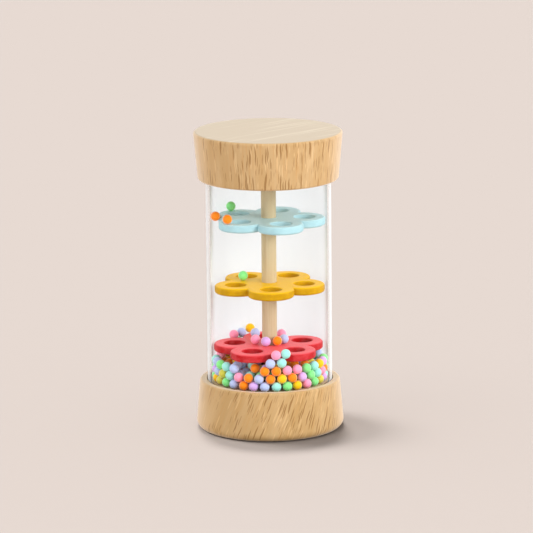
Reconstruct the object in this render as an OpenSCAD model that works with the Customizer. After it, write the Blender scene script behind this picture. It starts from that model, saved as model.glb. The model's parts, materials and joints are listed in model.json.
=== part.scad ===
// Small rainstick. A clear tube is closed by two turned wooden caps. A wooden
// dowel up the middle carries three flower-shaped discs, and loose beads fall
// through the holes in the discs when the stick is turned over.
// Millimetres, +Z up the tube, origin at the middle of the base's underside.

/* [Stick] */
// Height of the whole stick over both caps
total_h = 153; // [140:1:220]
// Outside diameter of the clear tube
tube_d = 63.5; // [58:0.5:80]
// Wall of the clear tube
tube_wall = 2; // [1.2:0.1:3]

/* [Caps] */
// Height of the base cap
base_h = 25.2; // [20:0.1:32]
// Height of the top cap
top_h = 24.4; // [20:0.1:32]
// How far the floor inside the base's groove lies below its mouth
floor_drop = 1.2; // [0:0.1:3]
// Depth of the ring groove that holds the end of the tube
groove_depth = 9; // [5:0.5:14]
// Gap round the outside of the tube in its groove
groove_gap = 0.55; // [0.1:0.05:1]
// Gap between the bore of the tube and the boss inside it
boss_gap = 0.15; // [0.05:0.05:0.5]
// Wood left outside the groove at the mouth of the cap
rim_wall = 3.3; // [2:0.1:6]
// How much wider the flat end of the cap is than its mouth, on the radius
cap_flare = 2.2; // [0:0.1:4]
// Rounding round the foot of the base cap
foot_round = 3.8; // [1:0.1:6]
// Rounding round the crown of the top cap
crown_round = 1.3; // [0.5:0.1:6]
// Rounding of a cap's mouth
mouth_round = 1.3; // [0.5:0.1:1.5]

/* [Dowel] */
// Diameter of the dowel
dowel_d = 7.6; // [6:0.1:10]
// Depth of the blind bore that holds the dowel in each cap
dowel_socket = 13; // [8:0.5:16]
// Gap round the dowel in the caps and the discs
dowel_gap = 0.05; // [0.02:0.01:0.2]

/* [Discs] */
// Thickness of a disc
disc_t = 4.1; // [3:0.1:6]
// Clear height between the heap's top row of beads and the lowest disc
heap_room = 1.3; // [0.3:0.1:8]
// Clear height between the highest disc and the top cap
top_gap = 20.1; // [10:0.1:24]
// How far the middle disc hangs below the level midway between the other two
middle_drop = 0.6; // [-5:0.1:5]
// Gap between the tips of the petals and the tube
disc_gap = 0.95; // [0.5:0.05:2]
// How far a petal reaches past the line midway to its neighbour
petal_lap = 1.8; // [1.4:0.1:3]
// Rounding along a petal's edge
petal_edge = 1.2; // [0.5:0.1:1.8]
// How much further out than its petal a hole is centred
hole_out = 1.2; // [0:0.1:1.5]
// Diameter of a petal's hole
hole_d = 10.6; // [7:0.1:12]
// Rounding of a hole's rims
hole_lip = 0.8; // [0.3:0.1:1.5]
// Turn of the lowest disc about the dowel
red_turn = -47; // [-180:1:180]
// Turn of the middle disc about the dowel
yellow_turn = -87; // [-180:1:180]
// Turn of the highest disc about the dowel
blue_turn = -70; // [-180:1:180]

/* [Beads] */
// Diameter of a bead
bead_d = 4.9; // [4:0.1:5]
// Gap between two beads that lie side by side in a ring
bead_spread = 0.65; // [0.2:0.05:1]
// Gap between a bead and what it rests on
rest_gap = 0.05; // [0.02:0.01:0.1]
// How far round from the middle of the disc's front notch the heap's pile stands
pile_turn = 0.5; // [-3:0.1:3]
// Share of the inner places in the heap's top row that hold a bead
top_fill = 0.6; // [0:0.05:1]

/* [Hidden] */

wood = "#DDB27C";
clear = [0.92, 0.95, 0.97, 0.25];
red = "#D9353B";
yellow = "#E0A81E";
blue = "#B4D6DA";
ORANGE = "#F58A1F";
YELLOW = "#F5B800";
OLIVE = "#C9C24A";
GREEN = "#85D68A";
MINT = "#9AD9CF";
BLUE = "#A9B4DC";
LILAC = "#C9A5DC";
PINK = "#F79AB8";

petals = 5;
slack = 1;                        // how far a cut runs past the face it opens
tube_r = tube_d / 2;
bore_r = tube_r - tube_wall;
mouth_r = tube_r + groove_gap + rim_wall;
end_r = mouth_r + cap_flare;
dowel_r = dowel_d / 2;
bead_r = bead_d / 2;

// Levels up the stick
floor_z = base_h - floor_drop;
ceiling_z = total_h - top_h;
tube_bottom = base_h - groove_depth;
tube_len = ceiling_z + groove_depth - tube_bottom;
dowel_bottom = base_h - dowel_socket;
dowel_len = ceiling_z + dowel_socket - dowel_bottom;

// A flower: its petals' tips stand a gap off the tube, and neighbours overlap
tip_r = bore_r - disc_gap;
petal_round = (tip_r * sin(180 / petals) + petal_lap) / (1 + sin(180 / petals));
petal_r = tip_r - petal_round;
hole_r = petal_r + hole_out;

// Places of the beads
wall_r = bore_r - bead_r - rest_gap;              // a bead that touches the tube
inner_r = dowel_r + bead_r + rest_gap;            // a bead that touches the dowel
touch = bead_d + rest_gap;                        // centre to centre of touching beads
ring_step = touch;
rings = 1 + floor((wall_r - inner_r) / ring_step);

function polar(r, a) = [r * cos(a), r * sin(a)];
function petal_angle(turn, k) = turn + k * 360 / petals;
function petal_at(turn, k) = polar(petal_r, petal_angle(turn, k));
function hole_at(turn, k) = polar(hole_r, petal_angle(turn, k));
function notch_angle(turn, k) = turn + (k + 0.5) * 360 / petals;

// Half the distance between the middles of neighbouring petals, the radius to the
// middle of that line, which the hub fills, and the radius of the notch beyond it
petal_half = petal_r * sin(180 / petals);
hub_r = petal_r * cos(180 / petals);
notch_r = hub_r + sqrt(pow(petal_round, 2) - pow(petal_half, 2));

// Height of a bead that lies on a disc at p: on its flat face, or lower on the
// rounded edge of the nearest petal
edge_reach = bead_r + petal_edge;
function edge_drop(over) = over <= 0 ? edge_reach
    : sqrt(max(0, pow(edge_reach, 2) - pow(over, 2)));
function disc_rest(disc_z, turn, p) =
    let (reach = min([for (k = [0:petals - 1]) norm(p - petal_at(turn, k))]),
        flat = norm(p) < hub_r ? 0 : reach - (petal_round - petal_edge))
    disc_z + disc_t - petal_edge + edge_drop(flat) + rest_gap;
// How far round from a petal's middle a bead leans on both its edge and the tube:
// lean goes from 0, on the flat face, to 1, beside the edge
function lean_angle(lean) =
    let (reach = petal_round - petal_edge + lean * edge_reach)
    acos((pow(petal_r, 2) + pow(wall_r, 2) - pow(reach, 2)) / (2 * petal_r * wall_r));

// The heap: rings of beads round the dowel, each row in the gaps of the one below.
// A ring's beads keep a small gap, and a little of it is dealt out at random.
function ring_r(j) = wall_r - j * ring_step;
function ring_n(j) = floor(180 / asin((bead_d + bead_spread) / 2 / ring_r(j)));
function ring_pitch(j) = 360 / ring_n(j);
pile_left = 4;                    // first of the three outermost beads under the pile
heap_turn = notch_angle(red_turn, -1) - pile_turn - (pile_left + 2) * ring_pitch(0);
function ring_play(j) =
    ring_pitch(j) / 2 - asin(touch / 2 / ring_r(j));
jitter = [for (j = [0:rings - 1]) rands(-0.5, 0.5, ring_n(j), 11 + j)];
function row1_angle(j, i) = heap_turn * (1 + j) + i * ring_pitch(j)
    + jitter[j][i % ring_n(j)] * ring_play(j);
function row2_angle(j, i) = (row1_angle(j, i) + row1_angle(j, i + 1)) / 2;
function row3_angle(j, i) = (row2_angle(j, i) + row2_angle(j, i + 1)) / 2;
// How far a bead rises above two that are an angle apart in ring j
function nest(j, apart) = sqrt(pow(touch, 2) - pow(ring_r(j) * sin(apart / 2), 2));
row1_z = floor_z + rest_gap + bead_r;
function row2_z(j, i) = row1_z + nest(j, row1_angle(j, i + 1) - row1_angle(j, i));
function row3_z(j, i) = max(row2_z(j, i), row2_z(j, i + 1))
    + nest(j, row2_angle(j, i + 1) - row2_angle(j, i));
function spot(j, a, z) = concat(polar(ring_r(j), a), z);

// Colours of the outermost ring, row by row from its first bead: a letter for a
// bead and a dash for an empty place. The inner rings are dealt at random.
LETTERS = "OYVGMBLP";
WALL_1 = "VGBOLBMGYPGVLMOPGBYLOMGPBVOLGY";
WALL_2 = "VMPOBOYOLGMPOGYBMLPOVGBPYOMGLB";
WALL_3 = "MB--OOPPGMYLG-BOPM-YLGMOVP-MBG";
inner_1 = [for (j = [0:rings - 1]) rands(0, 7.99, ring_n(j), 31 + j)];
inner_2 = [for (j = [0:rings - 1]) rands(0, 7.99, ring_n(j), 51 + j)];
inner_3 = [for (j = [0:rings - 1]) rands(0, 7.99 / top_fill, ring_n(j), 71 + j)];
function pick(row, dealt, j, i) = j == 0 ? row[i % len(row)] : LETTERS[floor(dealt[j][i])];

// The beads under the lowest disc's holes lie on the first two rows
rows_1_2 = [for (j = [0:rings - 1]) for (i = [0:ring_n(j) - 1]) each [
    concat(spot(j, row1_angle(j, i), row1_z), pick(WALL_1, inner_1, j, i)),
    concat(spot(j, row2_angle(j, i), row2_z(j, i)), pick(WALL_2, inner_2, j, i))]];
function xy(p) = [p.x, p.y];
function heap_rest(p) = rest_gap + max([for (b = rows_1_2)
    let (away = norm(xy(b) - p)) if (away < touch) b.z + sqrt(pow(touch, 2) - pow(away, 2))]);
hole_beads = [for (k = [0:petals - 1]) hole_at(red_turn, k)];
function clear_of_hole_beads(p) = min([for (h = hole_beads) norm(h - xy(p))]) > touch;
row_3 = [for (j = [0:rings - 1]) for (i = [0:ring_n(j) - 1])
    let (p = spot(j, row3_angle(j, i), row3_z(j, i)), c = pick(WALL_3, inner_3, j, i))
    if (c != undef && c != "-" && clear_of_hole_beads(p)) concat(p, c)];

// The discs: the lowest just clears the heap, and the middle one is midway
red_z = max([for (b = row_3) b.z]) + bead_r + heap_room;
blue_z = ceiling_z - top_gap - disc_t;
yellow_z = (red_z + blue_z) / 2 - middle_drop;

// A pile stands above the rest of the heap in a notch of the lowest disc, over the three
// outermost third-row beads from i on: two beads in their gaps, one between those, and
// one beside it, on the side that side gives, 1 or -1
function row4_angle(i) = (row3_angle(0, i) + row3_angle(0, i + 1)) / 2;
function row4_z(i) = max(row3_z(0, i), row3_z(0, i + 1))
    + nest(0, row3_angle(0, i + 1) - row3_angle(0, i));
function pile_foot(i) = spot(0, row4_angle(i), row4_z(i));
function pile_half(i) = (row4_angle(i + 1) - row4_angle(i)) / 2;
function pile_mid(i) = spot(0, row4_angle(i) + pile_half(i),
    max(row4_z(i), row4_z(i + 1)) + nest(0, 2 * pile_half(i)) + rest_gap);
function pile_side(i, side) =
    let (foot = side > 0 ? i + 1 : i,
        lean = 2 * asin((touch + rest_gap) / 2 / ring_r(0)) - pile_half(i),
        at = polar(ring_r(0), row4_angle(foot) + side * lean))
    concat(at, max(row4_z(foot) + nest(0, 2 * lean) + rest_gap,
        disc_rest(red_z, red_turn, at)));
// The back pile stands where its middle is nearest the middle of its notch
back_left = round((notch_angle(red_turn, 2) - heap_turn) / ring_pitch(0)) - 2;
row_4 = [concat(pile_foot(pile_left), "B"), concat(pile_foot(pile_left + 1), "M"),
    concat(pile_foot(back_left), "G"), concat(pile_foot(back_left + 1), "O")];

heap = concat(rows_1_2, row_3, row_4);

// What a cap of height h loses inside its mouth: its boss ends so far below the mouth
module cap_bores(h, drop) {
    // groove for the end of the tube
    translate([0, 0, h - groove_depth]) difference() {
        cylinder(h = groove_depth + slack, r = tube_r + groove_gap, $fn = 96);
        translate([0, 0, -slack])
            cylinder(h = groove_depth - drop + slack, r = bore_r - boss_gap, $fn = 96);
    }
    // blind bore for the dowel
    translate([0, 0, h - dowel_socket])
        cylinder(h = dowel_socket + slack, r = dowel_r + dowel_gap, $fn = 48);
}

// Half the outline of a cap: flat end at the bottom, flared side, rounded corners
module cap_outline(h, end_round) {
    lean = atan2(cap_flare, h);
    difference() {
        polygon([[0, 0], [end_r, 0], [mouth_r, h], [0, h]]);
        corner_cut([end_r, 0], end_round, 180, 90 + lean);
        corner_cut([mouth_r, h], mouth_round, lean - 90, -180);
    }
}

// What a rounding of radius r takes off a corner between two sides that leave it in
// the directions a and b
module corner_cut(corner, r, a, b) {
    half = (b - a) / 2;
    far = r / sin(abs(half));
    side = r / tan(abs(half));
    centre = corner + far * [cos(a + half), sin(a + half)];
    past = 0.2;                   // the cut starts a little outside the corner
    difference() {
        polygon([corner + side * [cos(a), sin(a)],
            corner - past * [cos(a + half), sin(a + half)],
            corner + side * [cos(b), sin(b)], centre]);
        translate(centre) circle(r = r, $fn = 64);
    }
}

// A cap of height h, standing on its flat end
module cap(h, end_round, drop) {
    difference() {
        rotate_extrude($fn = 120) cap_outline(h, end_round);
        cap_bores(h, drop);
    }
}

module base_cap() {
    color(wood) cap(base_h, foot_round, floor_drop);
}

module top_cap() {
    color(wood) translate([0, 0, total_h]) mirror([0, 0, 1]) cap(top_h, crown_round, 0);
}

module tube() {
    color(clear) translate([0, 0, tube_bottom]) difference() {
        cylinder(h = tube_len, r = tube_r, $fn = 120);
        translate([0, 0, -slack]) cylinder(h = tube_len + 2 * slack, r = bore_r, $fn = 120);
    }
}

module dowel() {
    color(wood) translate([0, 0, dowel_bottom]) cylinder(h = dowel_len, r = dowel_r, $fn = 48);
}

// One petal: a round puck with both edges rounded
module petal() {
    rotate_extrude($fn = 96) {
        square([petal_round - petal_edge, disc_t]);
        translate([0, petal_edge]) square([petal_round, disc_t - 2 * petal_edge]);
        for (z = [petal_edge, disc_t - petal_edge])
            translate([petal_round - petal_edge, z]) circle(r = petal_edge, $fn = 32);
    }
}

// What a petal's hole takes away: a bore that opens out at both rims
module petal_hole() {
    rotate_extrude($fn = 64) {
        translate([0, -slack]) square([hole_d / 2, disc_t + 2 * slack]);
        lip_cut();
        translate([0, disc_t]) mirror([0, 1]) lip_cut();
    }
}

module lip_cut() {
    difference() {
        translate([0, -slack]) square([hole_d / 2 + hole_lip, hole_lip + slack]);
        translate([hole_d / 2 + hole_lip, hole_lip]) circle(r = hole_lip, $fn = 32);
        translate([hole_d / 2 + hole_lip, -2 * slack]) square([slack, hole_lip + 4 * slack]);
    }
}

module flower_disc(z, turn) {
    translate([0, 0, z]) rotate(turn) difference() {
        union() {
            cylinder(h = disc_t, r = hub_r, $fn = 96);
            for (k = [0:petals - 1]) translate(petal_at(0, k)) petal();
        }
        for (k = [0:petals - 1]) translate(hole_at(0, k)) petal_hole();
        translate([0, 0, -slack])
            cylinder(h = disc_t + 2 * slack, r = dowel_r + dowel_gap, $fn = 48);
    }
}

module disc_red() {
    color(red) flower_disc(red_z, red_turn);
}

module disc_yellow() {
    color(yellow) flower_disc(yellow_z, yellow_turn);
}

module disc_blue() {
    color(blue) flower_disc(blue_z, blue_turn);
}

module bead(p) {
    translate([p.x, p.y, p.z]) sphere(d = bead_d, $fn = 24);
}

// All the beads of one colour in the heap
module heap_of(letter) {
    for (b = heap) if (b[3] == letter) bead(b);
}

module heap_orange() { color(ORANGE) heap_of("O"); }
module heap_yellow() { color(YELLOW) heap_of("Y"); }
module heap_olive() { color(OLIVE) heap_of("V"); }
module heap_green() { color(GREEN) heap_of("G"); }
module heap_mint() { color(MINT) heap_of("M"); }
module heap_blue() { color(BLUE) heap_of("B"); }
module heap_lilac() { color(LILAC) heap_of("L"); }
module heap_pink() { color(PINK) heap_of("P"); }

// A bead that lies on a disc, at p in plan
module on_disc(disc_z, turn, p) {
    bead(concat(p, disc_rest(disc_z, turn, p)));
}

// Beside petal k's hole, in direction a from the hole's middle, land out from its edge
function by_hole(turn, k, a, land) = hole_at(turn, k) + polar(hole_d / 2 + land, a);

// Beads on the highest disc: petals 0 to 4 go round from its turn
module blue_disc_bead_green() {
    color(GREEN) on_disc(blue_z, blue_turn, by_hole(blue_turn, 3, blue_turn + 194, 2.1));
}
module blue_disc_bead_orange() {
    color(ORANGE) on_disc(blue_z, blue_turn, polar(wall_r, blue_turn - 69.5));
}
module blue_disc_bead_at_wall() {
    color(ORANGE) on_disc(blue_z, blue_turn,
        polar(wall_r, petal_angle(blue_turn, 3) + lean_angle(0.96)));
}

// Bead on the middle disc
module yellow_disc_bead_green() {
    color(GREEN) on_disc(yellow_z, yellow_turn, polar(hole_r - hole_d / 2 + 0.8,
        notch_angle(yellow_turn, 3)));
}

// Beads on the lowest disc, out from its hub: the one at the tube lies beside the back
// pile's blue bead
module red_disc_bead_at_wall() {
    pile_end = pile_side(back_left, -1);
    color(YELLOW) on_disc(red_z, red_turn, polar(wall_r,
        atan2(pile_end.y, pile_end.x) - 2 * asin(touch / 2 / wall_r)));
}
module red_disc_bead_lavender() {
    color(BLUE) on_disc(red_z, red_turn, by_hole(red_turn, 2, red_turn + 268, 1.5));
}
module red_disc_bead_rose() {
    color(PINK) on_disc(red_z, red_turn, polar(hub_r - 1.2, notch_angle(red_turn, 1)));
}

// Beads on the lowest disc, round the dowel
module dowel_bead_pink() {
    color(PINK) on_disc(red_z, red_turn, polar(inner_r + 1, red_turn + 234));
}
module dowel_bead_lilac() {
    color(LILAC) on_disc(red_z, red_turn, polar(inner_r, red_turn - 61));
}
module dowel_bead_orange() {
    color(ORANGE) on_disc(red_z, red_turn, polar(inner_r, red_turn - 5));
}
module dowel_bead_blue() {
    color(BLUE) on_disc(red_z, red_turn, polar(inner_r + 1, red_turn + 42.5));
}

// The two highest beads of the piles in the front and back notches
module front_notch_bead_pink() { color(PINK) bead(pile_mid(pile_left)); }
module front_notch_bead_mint() { color(MINT) bead(pile_side(pile_left, 1)); }
module back_notch_bead_pink() { color(PINK) bead(pile_mid(back_left)); }
module back_notch_bead_blue() { color(BLUE) bead(pile_side(back_left, -1)); }

// Beads on the heap, one under each hole of the lowest disc
module under_hole(k) {
    bead(concat(hole_beads[k], heap_rest(hole_beads[k])));
}
module hole_bead_orange() { color(ORANGE) under_hole(0); }
module hole_bead_green() { color(GREEN) under_hole(1); }
module hole_bead_pink() { color(PINK) under_hole(2); }
module hole_bead_yellow() { color(YELLOW) under_hole(3); }
module hole_bead_mint() { color(MINT) under_hole(4); }

base_cap();
top_cap();
tube();
dowel();
disc_red();
disc_yellow();
disc_blue();
heap_orange();
heap_yellow();
heap_olive();
heap_green();
heap_mint();
heap_blue();
heap_lilac();
heap_pink();
blue_disc_bead_green();
blue_disc_bead_orange();
blue_disc_bead_at_wall();
yellow_disc_bead_green();
red_disc_bead_at_wall();
red_disc_bead_lavender();
red_disc_bead_rose();
dowel_bead_pink();
dowel_bead_lilac();
dowel_bead_orange();
dowel_bead_blue();
front_notch_bead_pink();
front_notch_bead_mint();
back_notch_bead_pink();
back_notch_bead_blue();
hole_bead_orange();
hole_bead_green();
hole_bead_pink();
hole_bead_yellow();
hole_bead_mint();
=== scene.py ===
"""Looks of a small wooden rainstick: turned caps, a clear tube, painted discs on a dowel,
and loose beads."""

import json
import math

import bpy
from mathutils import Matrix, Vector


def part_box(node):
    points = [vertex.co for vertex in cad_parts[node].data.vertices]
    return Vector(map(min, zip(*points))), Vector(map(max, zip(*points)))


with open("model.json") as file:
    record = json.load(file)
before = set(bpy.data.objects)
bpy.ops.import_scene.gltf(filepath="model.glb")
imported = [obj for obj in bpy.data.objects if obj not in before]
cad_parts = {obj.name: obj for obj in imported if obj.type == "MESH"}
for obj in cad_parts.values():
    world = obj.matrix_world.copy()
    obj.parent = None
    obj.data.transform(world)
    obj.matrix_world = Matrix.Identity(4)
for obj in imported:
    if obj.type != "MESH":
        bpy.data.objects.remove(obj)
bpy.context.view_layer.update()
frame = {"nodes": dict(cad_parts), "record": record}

MM = 0.001


def colour(code):
    """A colour written as sRGB hex, in the linear values that a shader takes."""
    parts = [int(code[i:i + 2], 16) / 255 for i in (1, 3, 5)]
    return [*(c / 12.92 if c <= 0.04045 else ((c + 0.055) / 1.055) ** 2.4 for c in parts), 1]


def add(tree, kind, inputs={}, **settings):
    """A new node. Settings are its own choices. Inputs are numbers, hex colours, sockets to
    link, or nodes, which link by the first output that they have in use."""
    node = tree.nodes.new("ShaderNode" + kind)
    for name, value in settings.items():
        setattr(node, name, value)
    for name, value in inputs.items():
        if isinstance(value, bpy.types.Node):
            value = next(socket for socket in value.outputs if socket.enabled)
        if isinstance(value, bpy.types.NodeSocket):
            tree.links.new(value, node.inputs[name])
        elif isinstance(value, str):
            node.inputs[name].default_value = colour(value)
        else:
            node.inputs[name].default_value = value
    return node


def new_material(name):
    """An empty material and its node tree."""
    material = bpy.data.materials.new(name)
    material.use_nodes = True
    material.node_tree.nodes.clear()
    return material, material.node_tree


def finish_node(node, material):
    """Gives a CAD node its material."""
    frame["nodes"][node].data.materials.clear()
    frame["nodes"][node].data.materials.append(material)


# ---------------------------------------------------------------- wood

CAP_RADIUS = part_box("top_cap")[1].x

# How often each pattern of the caps repeats in a metre
WANDER = 120.0               # the grain wanders over 8 mm
BANDS = (110, 14, 1)         # across and along: wood of a season, 9 mm wide, 71 mm long
STREAKS = (900, 45, 1)       # across and along: 1.1 mm wide, 22 mm long
END_STREAKS = (22, 420, 22)  # along and across, on the flat end: 45 mm long, 2.4 mm wide

WANDER_BY = 1.4 * MM         # from edge to edge of its range
END_TURN = -0.75             # how far the end's streaks are turned, in radians
SUMMER_STREAK = "#C08F54"
PORE = "#88602C"
# the painted sheen's colour, which the sides pale towards where they turn away from the eye
PAINTED_SHEEN = "#F2DCC0"
END_FACE = "#BAA586"
END_FACE_STREAK = "#D2C2A6"

# Dashes along the grain: the width and length of the cells they lie in, in mm, and their
# least and most size as a share of a cell
PORES = (1.25, 17, 0.08, 0.36)
SMALL_PORES = (0.85, 9, 0.12, 0.4)
LIGHT_DASHES = (1.5, 17, 0.1, 0.36)
# How strongly each shows, from 0 to 1, and what sets its places apart from the others'
PORE_SHOWS = 0.8
SMALL_PORE_SHOWS, SMALL_PORE_SEED = 0.65, 7.7
LIGHT_DASH_SHOWS, LIGHT_DASH_SEED = 0.36, 4.3
SMALL_PORE_CROWD = 0.5       # how crowded small pores are, against long ones
PORE_DIP = 2.0               # how deep a pore is, against how proud a streak is


def dashes(tree, grain, sizes, seed, crowd):
    """Dashes along the grain, at most one to a cell: crowd, from 0 to 1, is the share of
    the cells that have one."""
    wide, long, least, most = sizes
    cells = add(tree, "Mapping", {"Vector": grain, "Location": (seed, seed, 0),
        "Scale": (1 / (wide * MM), 1 / (long * MM), 1)})
    cell = add(tree, "TexVoronoi", {"Vector": cells, "Scale": 1.0},
        feature="F1", voronoi_dimensions="2D")
    lot = add(tree, "SeparateColor", {0: cell.outputs["Color"]})
    there = add(tree, "Math", {0: crowd, 1: lot.outputs[0]}, operation="SUBTRACT")
    there = add(tree, "MapRange", {"Value": there, "From Max": 0.12},
        interpolation_type="SMOOTHSTEP")
    size = add(tree, "MapRange", {"Value": lot.outputs[1], "To Min": least, "To Max": most})
    inside = add(tree, "Math", {0: size, 1: cell.outputs["Distance"]},
        operation="SUBTRACT")
    inside = add(tree, "MapRange", {"Value": inside, "From Max": 0.1},
        interpolation_type="SMOOTHSTEP")
    return add(tree, "Math", {0: inside, 1: there}, operation="MULTIPLY")


def turned_hardwood(name, lean, seed, end, mid, pale, sunny):
    """Pale open-pored hardwood, turned and sanded, under a clear satin oil. What it gives
    the eye: short dark pore dashes along the grain with paler dashes between them, crowded
    on one side and few on the other, a lighter sanded end face with faint streaks, and a
    painted sheen that pales the sides where they turn away from the eye.
    The grain leans by so many degrees, and the end faces up at 1 and down at -1."""
    material, tree = new_material(name)
    place = add(tree, "TexCoord")
    spot = add(tree, "SeparateXYZ", {0: place.outputs["Object"]})
    x, y, z = spot.outputs
    # round the cap and up it, in metres, so that the grain follows the turned side
    front = add(tree, "Math", {0: y, 1: -1.0}, operation="MULTIPLY")
    turn = add(tree, "Math", {0: x, 1: front}, operation="ARCTAN2")
    round_side = add(tree, "Math", {0: turn, 1: CAP_RADIUS}, operation="MULTIPLY")
    side = add(tree, "CombineXYZ", {0: round_side, 1: z})
    wander = add(tree, "TexNoise", {"Vector": side, "Scale": WANDER, "Detail": 2.0})
    wander = add(tree, "VectorMath", {0: wander.outputs["Color"], 1: (0.5, 0.5, 0.5)},
        operation="SUBTRACT")
    wander = add(tree, "VectorMath", {0: wander, "Scale": WANDER_BY}, operation="SCALE")
    side = add(tree, "VectorMath", {0: side, 1: wander})
    grain = add(tree, "Mapping", {"Vector": side, "Rotation": (0, 0, math.radians(lean))})
    # broad bands, then streaks over them
    bands = add(tree, "Mapping", {"Vector": grain, "Location": (seed, 0, 0),
        "Scale": BANDS})
    bands = add(tree, "TexNoise", {"Vector": bands, "Scale": 1.0, "Detail": 3.0})
    bands = add(tree, "MapRange", {"Value": bands, "From Min": 0.36, "From Max": 0.64},
        interpolation_type="SMOOTHSTEP")
    wood = add(tree, "Mix", {0: bands, 6: mid, 7: pale}, data_type="RGBA")
    fine = add(tree, "Mapping", {"Vector": grain, "Location": (seed, 0, 0),
        "Scale": STREAKS})
    fine = add(tree, "TexNoise", {"Vector": fine, "Scale": 1.0, "Detail": 3.0})
    streak = add(tree, "MapRange", {"Value": fine, "From Min": 0.45, "From Max": 0.75,
        "To Max": 0.45}, interpolation_type="SMOOTHSTEP")
    wood = add(tree, "Mix", {0: streak, 6: wood, 7: SUMMER_STREAK}, data_type="RGBA")
    # few pores at the left, many from the middle round to the right, fewer past that
    crowd = add(tree, "MapRange", {"Value": turn, "From Min": -1.3, "From Max": -0.1,
        "To Min": 0.25, "To Max": 0.9}, interpolation_type="SMOOTHSTEP")
    past = add(tree, "MapRange", {"Value": turn, "From Min": 1.25, "From Max": 1.6,
        "To Max": 0.45}, interpolation_type="SMOOTHSTEP")
    crowd = add(tree, "Math", {0: crowd, 1: past}, operation="SUBTRACT")
    light = dashes(tree, grain, LIGHT_DASHES, seed + LIGHT_DASH_SEED, crowd)
    light = add(tree, "Math", {0: light, 1: LIGHT_DASH_SHOWS}, operation="MULTIPLY")
    wood = add(tree, "Mix", {0: light, 6: wood, 7: sunny}, data_type="RGBA")
    # long pores, and small ones between them
    pore = dashes(tree, grain, PORES, seed, crowd)
    few = add(tree, "Math", {0: crowd, 1: SMALL_PORE_CROWD}, operation="MULTIPLY")
    small = dashes(tree, grain, SMALL_PORES, seed + SMALL_PORE_SEED, few)
    small = add(tree, "Math", {0: small, 1: SMALL_PORE_SHOWS}, operation="MULTIPLY")
    pore = add(tree, "Math", {0: pore, 1: small}, operation="MAXIMUM")
    # no pores on the flat faces
    normal = add(tree, "SeparateXYZ", {0: place.outputs["Normal"]})
    level = add(tree, "Math", {0: normal.outputs[2]}, operation="ABSOLUTE")
    upright = add(tree, "Math", {0: 1.0, 1: level}, operation="SUBTRACT")
    upright = add(tree, "MapRange", {"Value": upright, "From Min": 0.1, "From Max": 0.5},
        interpolation_type="SMOOTHSTEP")
    pore = add(tree, "Math", {0: pore, 1: upright}, operation="MULTIPLY")
    dark = add(tree, "Math", {0: pore, 1: PORE_SHOWS}, operation="MULTIPLY")
    wood = add(tree, "Mix", {0: dark, 6: wood, 7: PORE}, data_type="RGBA")
    # painted sheen: the side pales towards a light colour where it turns away from the eye,
    # standing in for the oil's reflection
    painted_edge_sheen = add(tree, "LayerWeight", {"Blend": 0.5})
    painted_edge_sheen = add(tree, "MapRange", {"Value": painted_edge_sheen.outputs["Facing"], "From Min": 0.36,
        "From Max": 0.95, "To Max": 0.5}, interpolation_type="SMOOTHSTEP")
    wood = add(tree, "Mix", {0: painted_edge_sheen, 6: wood, 7: PAINTED_SHEEN}, data_type="RGBA")
    # the flat end: sanded, lighter, with faint streaks across it
    across = add(tree, "Mapping", {"Vector": place.outputs["Object"],
        "Rotation": (0, 0, END_TURN)})
    across = add(tree, "Mapping", {"Vector": across, "Location": (seed, 0, 0),
        "Scale": END_STREAKS})
    across = add(tree, "TexNoise", {"Vector": across, "Scale": 1.0, "Detail": 3.0})
    across = add(tree, "MapRange", {"Value": across, "From Min": 0.52, "From Max": 0.75,
        "To Max": 0.6}, interpolation_type="SMOOTHSTEP")
    flat = add(tree, "Mix", {0: across, 6: END_FACE, 7: END_FACE_STREAK},
        data_type="RGBA")
    ending = add(tree, "Math", {0: normal.outputs[2], 1: end}, operation="MULTIPLY")
    ending = add(tree, "MapRange", {"Value": ending, "From Min": 0.8, "From Max": 0.97},
        interpolation_type="SMOOTHSTEP")
    wood = add(tree, "Mix", {0: ending, 6: wood, 7: flat}, data_type="RGBA")
    # pores are open, so they dip, and the streaks stand a little proud
    dip = add(tree, "Math", {0: pore, 1: PORE_DIP}, operation="MULTIPLY")
    relief = add(tree, "Math", {0: fine, 1: dip}, operation="SUBTRACT")
    bump = add(tree, "Bump", {"Height": relief, "Strength": 0.3, "Distance": 0.1 * MM})
    shader = add(tree, "BsdfPrincipled", {"Base Color": wood, "Roughness": 0.55,
        "IOR": 1.47, "Sheen Weight": 0.3, "Sheen Roughness": 0.3, "Normal": bump})
    add(tree, "OutputMaterial", {0: shader})
    return material


finish_node("top_cap", turned_hardwood("turned_rubberwood_top", lean=0, seed=3.1, end=1.0,
    mid="#BA9665", pale="#C2A174", sunny="#E4C394"))
finish_node("base_cap", turned_hardwood("turned_rubberwood_base", lean=22, seed=5.7,
    end=-1.0, mid="#B5915D", pale="#BE9C6C", sunny="#E2BE8C"))

ROD_GRAIN = (1600, 1600, 25)   # lines in a metre: 0.6 mm wide and 40 mm long


def sanded_dowel(name):
    """Birch dowel rod, sanded and left bare. It looks pale and dry, with fine straight
    grain lines along its length."""
    material, tree = new_material(name)
    place = add(tree, "TexCoord")
    along = add(tree, "Mapping", {"Vector": place.outputs["Object"], "Scale": ROD_GRAIN})
    grain = add(tree, "TexNoise", {"Vector": along, "Scale": 1.0, "Detail": 4.0})
    line = add(tree, "MapRange", {"Value": grain, "From Min": 0.35, "From Max": 0.75})
    wood = add(tree, "Mix", {0: line, 6: "#CDBB98", 7: "#C0A984"}, data_type="RGBA")
    bump = add(tree, "Bump", {"Height": grain, "Strength": 0.2, "Distance": 0.1 * MM})
    shader = add(tree, "BsdfPrincipled", {"Base Color": wood, "Roughness": 0.62,
        "IOR": 1.47, "Normal": bump})
    add(tree, "OutputMaterial", {0: shader})
    return material


finish_node("dowel", sanded_dowel("sanded_birch_dowel"))


# ---------------------------------------------------------------- painted discs

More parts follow.
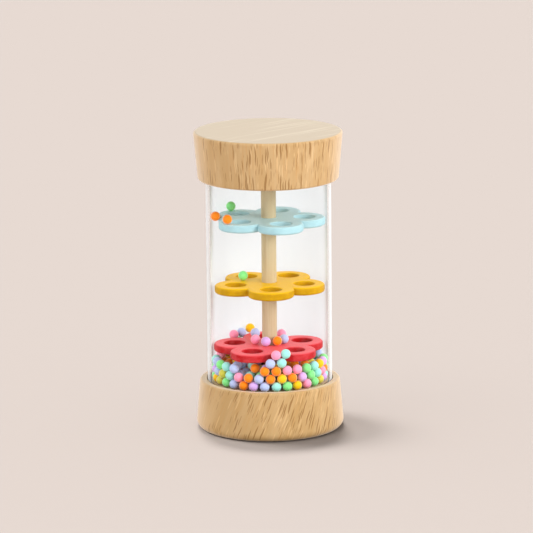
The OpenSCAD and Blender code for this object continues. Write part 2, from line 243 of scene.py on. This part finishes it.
FILM = 250.0                     # unevenness of the paint film in a metre: 4 mm across
PLY_GRAIN = (60, 1250, 300)      # lines in a metre, 0.8 mm apart, under the paint
PLY_TURN = 0.5                   # how far those lines are turned, in radians


def satin_paint(name, edge, painted_sheen_face):
    """Water-based satin paint on sanded plywood. Its flat faces are painted a lighter tone
    than the edge, a painted sheen; it has a faint brushed unevenness, and wood grain that
    just telegraphs through."""
    material, tree = new_material(name)
    place = add(tree, "TexCoord")
    normal = add(tree, "SeparateXYZ", {0: place.outputs["Normal"]})
    # painted sheen: the flat faces take the lighter face colour, standing in for the
    # reflection of the bright surroundings; the edge keeps the paint's own colour
    level = add(tree, "MapRange", {"Value": normal.outputs[2], "From Min": 0.5,
        "From Max": 0.95}, interpolation_type="SMOOTHSTEP")
    paint = add(tree, "Mix", {0: level, 6: edge, 7: painted_sheen_face}, data_type="RGBA")
    film = add(tree, "TexNoise", {"Vector": place.outputs["Object"], "Scale": FILM,
        "Detail": 3.0})
    thin = add(tree, "MapRange", {"Value": film, "From Min": 0.3, "From Max": 0.7,
        "To Max": 0.3}, interpolation_type="SMOOTHSTEP")
    paint = add(tree, "Mix", {0: thin, 6: paint, 7: painted_sheen_face}, data_type="RGBA")
    along = add(tree, "Mapping", {"Vector": place.outputs["Object"],
        "Rotation": (0, 0, PLY_TURN)})
    along = add(tree, "Mapping", {"Vector": along, "Scale": PLY_GRAIN})
    grain = add(tree, "TexNoise", {"Vector": along, "Scale": 1.0, "Detail": 2.0})
    bump = add(tree, "Bump", {"Height": grain, "Strength": 0.15, "Distance": 0.1 * MM})
    rough = add(tree, "MapRange", {"Value": film, "To Min": 0.34, "To Max": 0.5})
    shader = add(tree, "BsdfPrincipled", {"Base Color": paint, "Roughness": rough,
        "IOR": 1.5, "Specular IOR Level": 0.12, "Normal": bump})
    add(tree, "OutputMaterial", {0: shader})
    return material


# each disc: the paint's own colour at the edge, then its lighter painted-sheen colour for
# the flat faces
finish_node("disc_red", satin_paint("satin_paint_red", "#BA0F17", "#F4626A"))
finish_node("disc_yellow", satin_paint("satin_paint_yellow", "#BE8C00", "#FABE14"))
finish_node("disc_blue", satin_paint("satin_paint_blue", "#A6CCD4", "#C2E6EC"))


# ---------------------------------------------------------------- clear tube

HALF_WALL = 1 * MM
FAR_PAINTED_VEIL = 0.8     # how much of the far wall the painted pale veil covers
PAINTED_VEIL_GLOW = 0.7    # how much of the painted veil is a painted glow, giving light of its own
PAINTED_WALL_LINE = 0.78   # how much the painted white line covers where the wall is seen edge on
GLOSS = 0.22       # how much of a full mirror the wall's surface is


def clear_acrylic(name, bore_to_skin):
    """Extruded clear acrylic (PMMA) tube, polished by the die. It passes almost all light
    straight through and mirrors softly towards its edges. Its wall seen edge on at each side
    is a painted white line, standing in for the light the wall reflects there, and its far
    wall carries a painted pale veil, partly a painted glow, seen only by camera rays.
    bore_to_skin is the radius halfway through the wall, in metres."""
    material, tree = new_material(name)
    place = add(tree, "TexCoord")
    flat = add(tree, "VectorMath", {0: place.outputs["Object"], 1: (1, 1, 0)},
        operation="MULTIPLY")
    radius = add(tree, "VectorMath", {0: flat}, operation="LENGTH")
    bore = add(tree, "Math", {0: radius, 1: bore_to_skin}, operation="LESS_THAN")
    side = add(tree, "NewGeometry")
    facing = add(tree, "Math", {0: 1.0, 1: side.outputs["Backfacing"]},
        operation="SUBTRACT")
    ray = add(tree, "LightPath").outputs["Is Camera Ray"]
    seen = add(tree, "Math", {0: facing, 1: ray}, operation="MULTIPLY")
    # the far wall: a painted pale veil, partly a painted glow, only on what faces the inside
    # of the tube and only for camera rays
    far = add(tree, "Math", {0: bore, 1: seen}, operation="MULTIPLY")
    far = add(tree, "Math", {0: far, 1: FAR_PAINTED_VEIL}, operation="MULTIPLY")
    # the wall seen edge on: a painted white line, standing in for the light the wall
    # reflects there
    turn = add(tree, "LayerWeight", {"Blend": 0.5})
    edge = add(tree, "MapRange", {"Value": turn.outputs["Facing"], "From Min": 0.6,
        "From Max": 0.85, "To Max": PAINTED_WALL_LINE}, interpolation_type="SMOOTHSTEP")
    edge = add(tree, "Math", {0: edge, 1: seen}, operation="MULTIPLY")
    through = add(tree, "BsdfTransparent", {"Color": "#FDFEFE"})
    lit = add(tree, "BsdfDiffuse", {"Color": "#E6EAEC"})
    # the painted veil: a white diffuse mixed with a painted glow that is no lamp
    painted_glow = add(tree, "Emission", {"Color": "#F6F7FA", "Strength": 1.22})
    painted_veil = add(tree, "MixShader", {0: PAINTED_VEIL_GLOW, 1: lit, 2: painted_glow})
    body = add(tree, "MixShader", {0: far, 1: through, 2: painted_veil})
    body = add(tree, "MixShader", {0: edge, 1: body, 2: lit})
    # the gloss is only on the faces turned to the eye, not on the wall's own inside
    mirror = add(tree, "Fresnel", {"IOR": 1.49})
    mirror = add(tree, "Math", {0: mirror, 1: facing}, operation="MULTIPLY")
    mirror = add(tree, "Math", {0: mirror, 1: GLOSS}, operation="MULTIPLY")
    gloss = add(tree, "BsdfAnisotropic", {"Color": "#FFFFFF", "Roughness": 0.05})
    shader = add(tree, "MixShader", {0: mirror, 1: body, 2: gloss})
    add(tree, "OutputMaterial", {0: shader})
    material.use_backface_culling = True
    return material


finish_node("tube", clear_acrylic("clear_acrylic_tube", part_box("tube")[1].x - HALF_WALL))


# ---------------------------------------------------------------- beads

TUMBLED = 2500.0   # marks in a metre: the fine satin that tumbling leaves, 0.4 mm


def tumbled_bead(name, code):
    """Tumbled polystyrene bead: matte, full colour, with a painted soft edge light."""
    material, tree = new_material(name)
    place = add(tree, "TexCoord")
    fine = add(tree, "TexNoise", {"Vector": place.outputs["Object"], "Scale": TUMBLED,
        "Detail": 1.0})
    bump = add(tree, "Bump", {"Height": fine, "Strength": 0.1, "Distance": 0.05 * MM})
    # painted edge light: the colour whitens where the surface turns away from the eye
    painted_edge_sheen = add(tree, "LayerWeight", {"Blend": 0.5})
    painted_edge_sheen = add(tree, "MapRange", {"Value": painted_edge_sheen.outputs["Facing"], "From Min": 0.3,
        "To Max": 0.4}, interpolation_type="SMOOTHSTEP")
    plastic = add(tree, "Mix", {0: painted_edge_sheen, 6: code, 7: "#FFFFFF"}, data_type="RGBA")
    shader = add(tree, "BsdfPrincipled", {"Base Color": plastic, "Roughness": 0.5,
        "IOR": 1.52, "Specular IOR Level": 0.3, "Normal": bump})
    add(tree, "OutputMaterial", {0: shader})
    return material


BEAD_COLOURS = {"orange": "#FF8A06", "yellow": "#FFC60A", "olive": "#DACB4C",
    "green": "#8AEB8C", "mint": "#A2E8DC", "blue": "#BAC6F0", "lilac": "#D8ADEA",
    "pink": "#FF9DBE"}
bead_plastic = {"bead_" + c: tumbled_bead("tumbled_polystyrene_" + c, code)
    for c, code in BEAD_COLOURS.items()}
for part in frame["record"]["subparts"]:
    if part["material_slot"] in bead_plastic:
        finish_node(part["node"], bead_plastic[part["material_slot"]])


# ---------------------------------------------------------------- studio

BACKDROP = "#E7DAD2"
FLOOR_SIZE = 16      # metres
SKY = 1.05           # white light from all round, as radiance
# What each lamp for the floor adds there, where it stands, how soft it is in degrees, and
# whether only the base cap shades it
FLOOR_LAMPS = {"floor_sun_back": (1.15, (-0.12, 0.9, 1.0), 20, True),
    "floor_sun_left": (0.9, (-1.2, 0.6, 1.0), 32, True),
    "floor_sun_front": (0.15, (-0.5, -0.3, 1.0), 40, False)}
# The lamps that light all but the floor: where each stands, and its power in watts
SOFT_BOXES = {"soft_box_right": ((0.98, -0.62, 0.5), 11.0),
    "soft_box_left": ((-0.85, -0.7, 0.2), 3.5)}
SOFT_BOX_SIZE = 0.5
SOFT_BOX_AIM = (0, 0, 0.08)


def studio():
    """A plain pale floor that runs on to a backdrop of its own colour."""
    bpy.ops.object.select_all(action="DESELECT")
    bpy.ops.mesh.primitive_plane_add(size=FLOOR_SIZE)
    floor = bpy.context.object
    floor.name = "floor"
    # the paper's tone makes up for the light on it, so that it shows as the backdrop does
    material, tree = new_material("backdrop_paper")
    total = SKY + sum(share for share, at, soft, low in FLOOR_LAMPS.values())
    tone = [c / total for c in colour(BACKDROP)[:3]] + [1]
    paper = add(tree, "BsdfDiffuse", {"Color": tone})
    add(tree, "OutputMaterial", {0: paper})
    floor.data.materials.append(material)

    world = bpy.data.worlds.new("studio")
    world.use_nodes = True
    tree = world.node_tree
    tree.nodes.clear()
    seen = add(tree, "Background", {"Color": BACKDROP})
    light = add(tree, "Background", {"Color": "#FFFFFF", "Strength": SKY})
    ray = add(tree, "LightPath")
    both = add(tree, "MixShader", {0: ray.outputs["Is Camera Ray"], 1: light, 2: seen})
    add(tree, "OutputWorld", {0: both})
    bpy.context.scene.world = world
    return floor


def lamp(name, kind, at, aim, energy, **settings):
    """A lamp at one place, aimed at another."""
    data = bpy.data.lights.new(name, kind)
    data.energy = energy
    for key, value in settings.items():
        setattr(data, key, value)
    thing = bpy.data.objects.new(name, data)
    bpy.context.scene.collection.objects.link(thing)
    thing.location = at
    way = [a - b for a, b in zip(aim, at)]
    thing.rotation_euler = Vector(way).to_track_quat("-Z", "Y").to_euler()
    return thing


def link_floor(thing, state):
    """The lamp lights the floor only, at INCLUDE, or all but the floor, at EXCLUDE."""
    group = bpy.data.collections.new(thing.name + "_lights")
    group.objects.link(floor)
    group.collection_objects[0].light_linking.link_state = state
    thing.light_linking.receiver_collection = group


floor = studio()
for name, (share, at, soft, low) in FLOOR_LAMPS.items():
    slant = at[2] / math.hypot(*at)
    sun = lamp(name, "SUN", at, (0, 0, 0), share * math.pi / slant,
        angle=math.radians(soft))
    link_floor(sun, "INCLUDE")
    if low:
        shade = bpy.data.collections.new(name + "_shade")
        shade.objects.link(frame["nodes"]["base_cap"])
        sun.light_linking.blocker_collection = shade
for name, (at, power) in SOFT_BOXES.items():
    box = lamp(name, "AREA", at, SOFT_BOX_AIM, power, shape="SQUARE", size=SOFT_BOX_SIZE)
    link_floor(box, "EXCLUDE")
    box.visible_glossy = False

# The camera: a long lens, from in front and a little above
LENS, SENSOR, FAR = 260.4, 36, 30    # mm, mm and metres
CAMERA_AT = (0, -1.9145, 0.4949)
YAW, DOWN, ROLL = 0.00067, 0.2120, -0.009    # radians

camera = bpy.data.cameras.new("camera")
camera.lens = LENS
camera.sensor_width = SENSOR
camera.clip_end = FAR
view = bpy.data.objects.new("camera", camera)
bpy.context.scene.collection.objects.link(view)
view.location = CAMERA_AT
view.rotation_euler = (Matrix.Rotation(YAW, 3, "Z")
    @ Matrix.Rotation(math.pi / 2 - DOWN, 3, "X")
    @ Matrix.Rotation(ROLL, 3, "Z")).to_euler()
bpy.context.scene.camera = view
bpy.context.scene.view_settings.view_transform = "Standard"
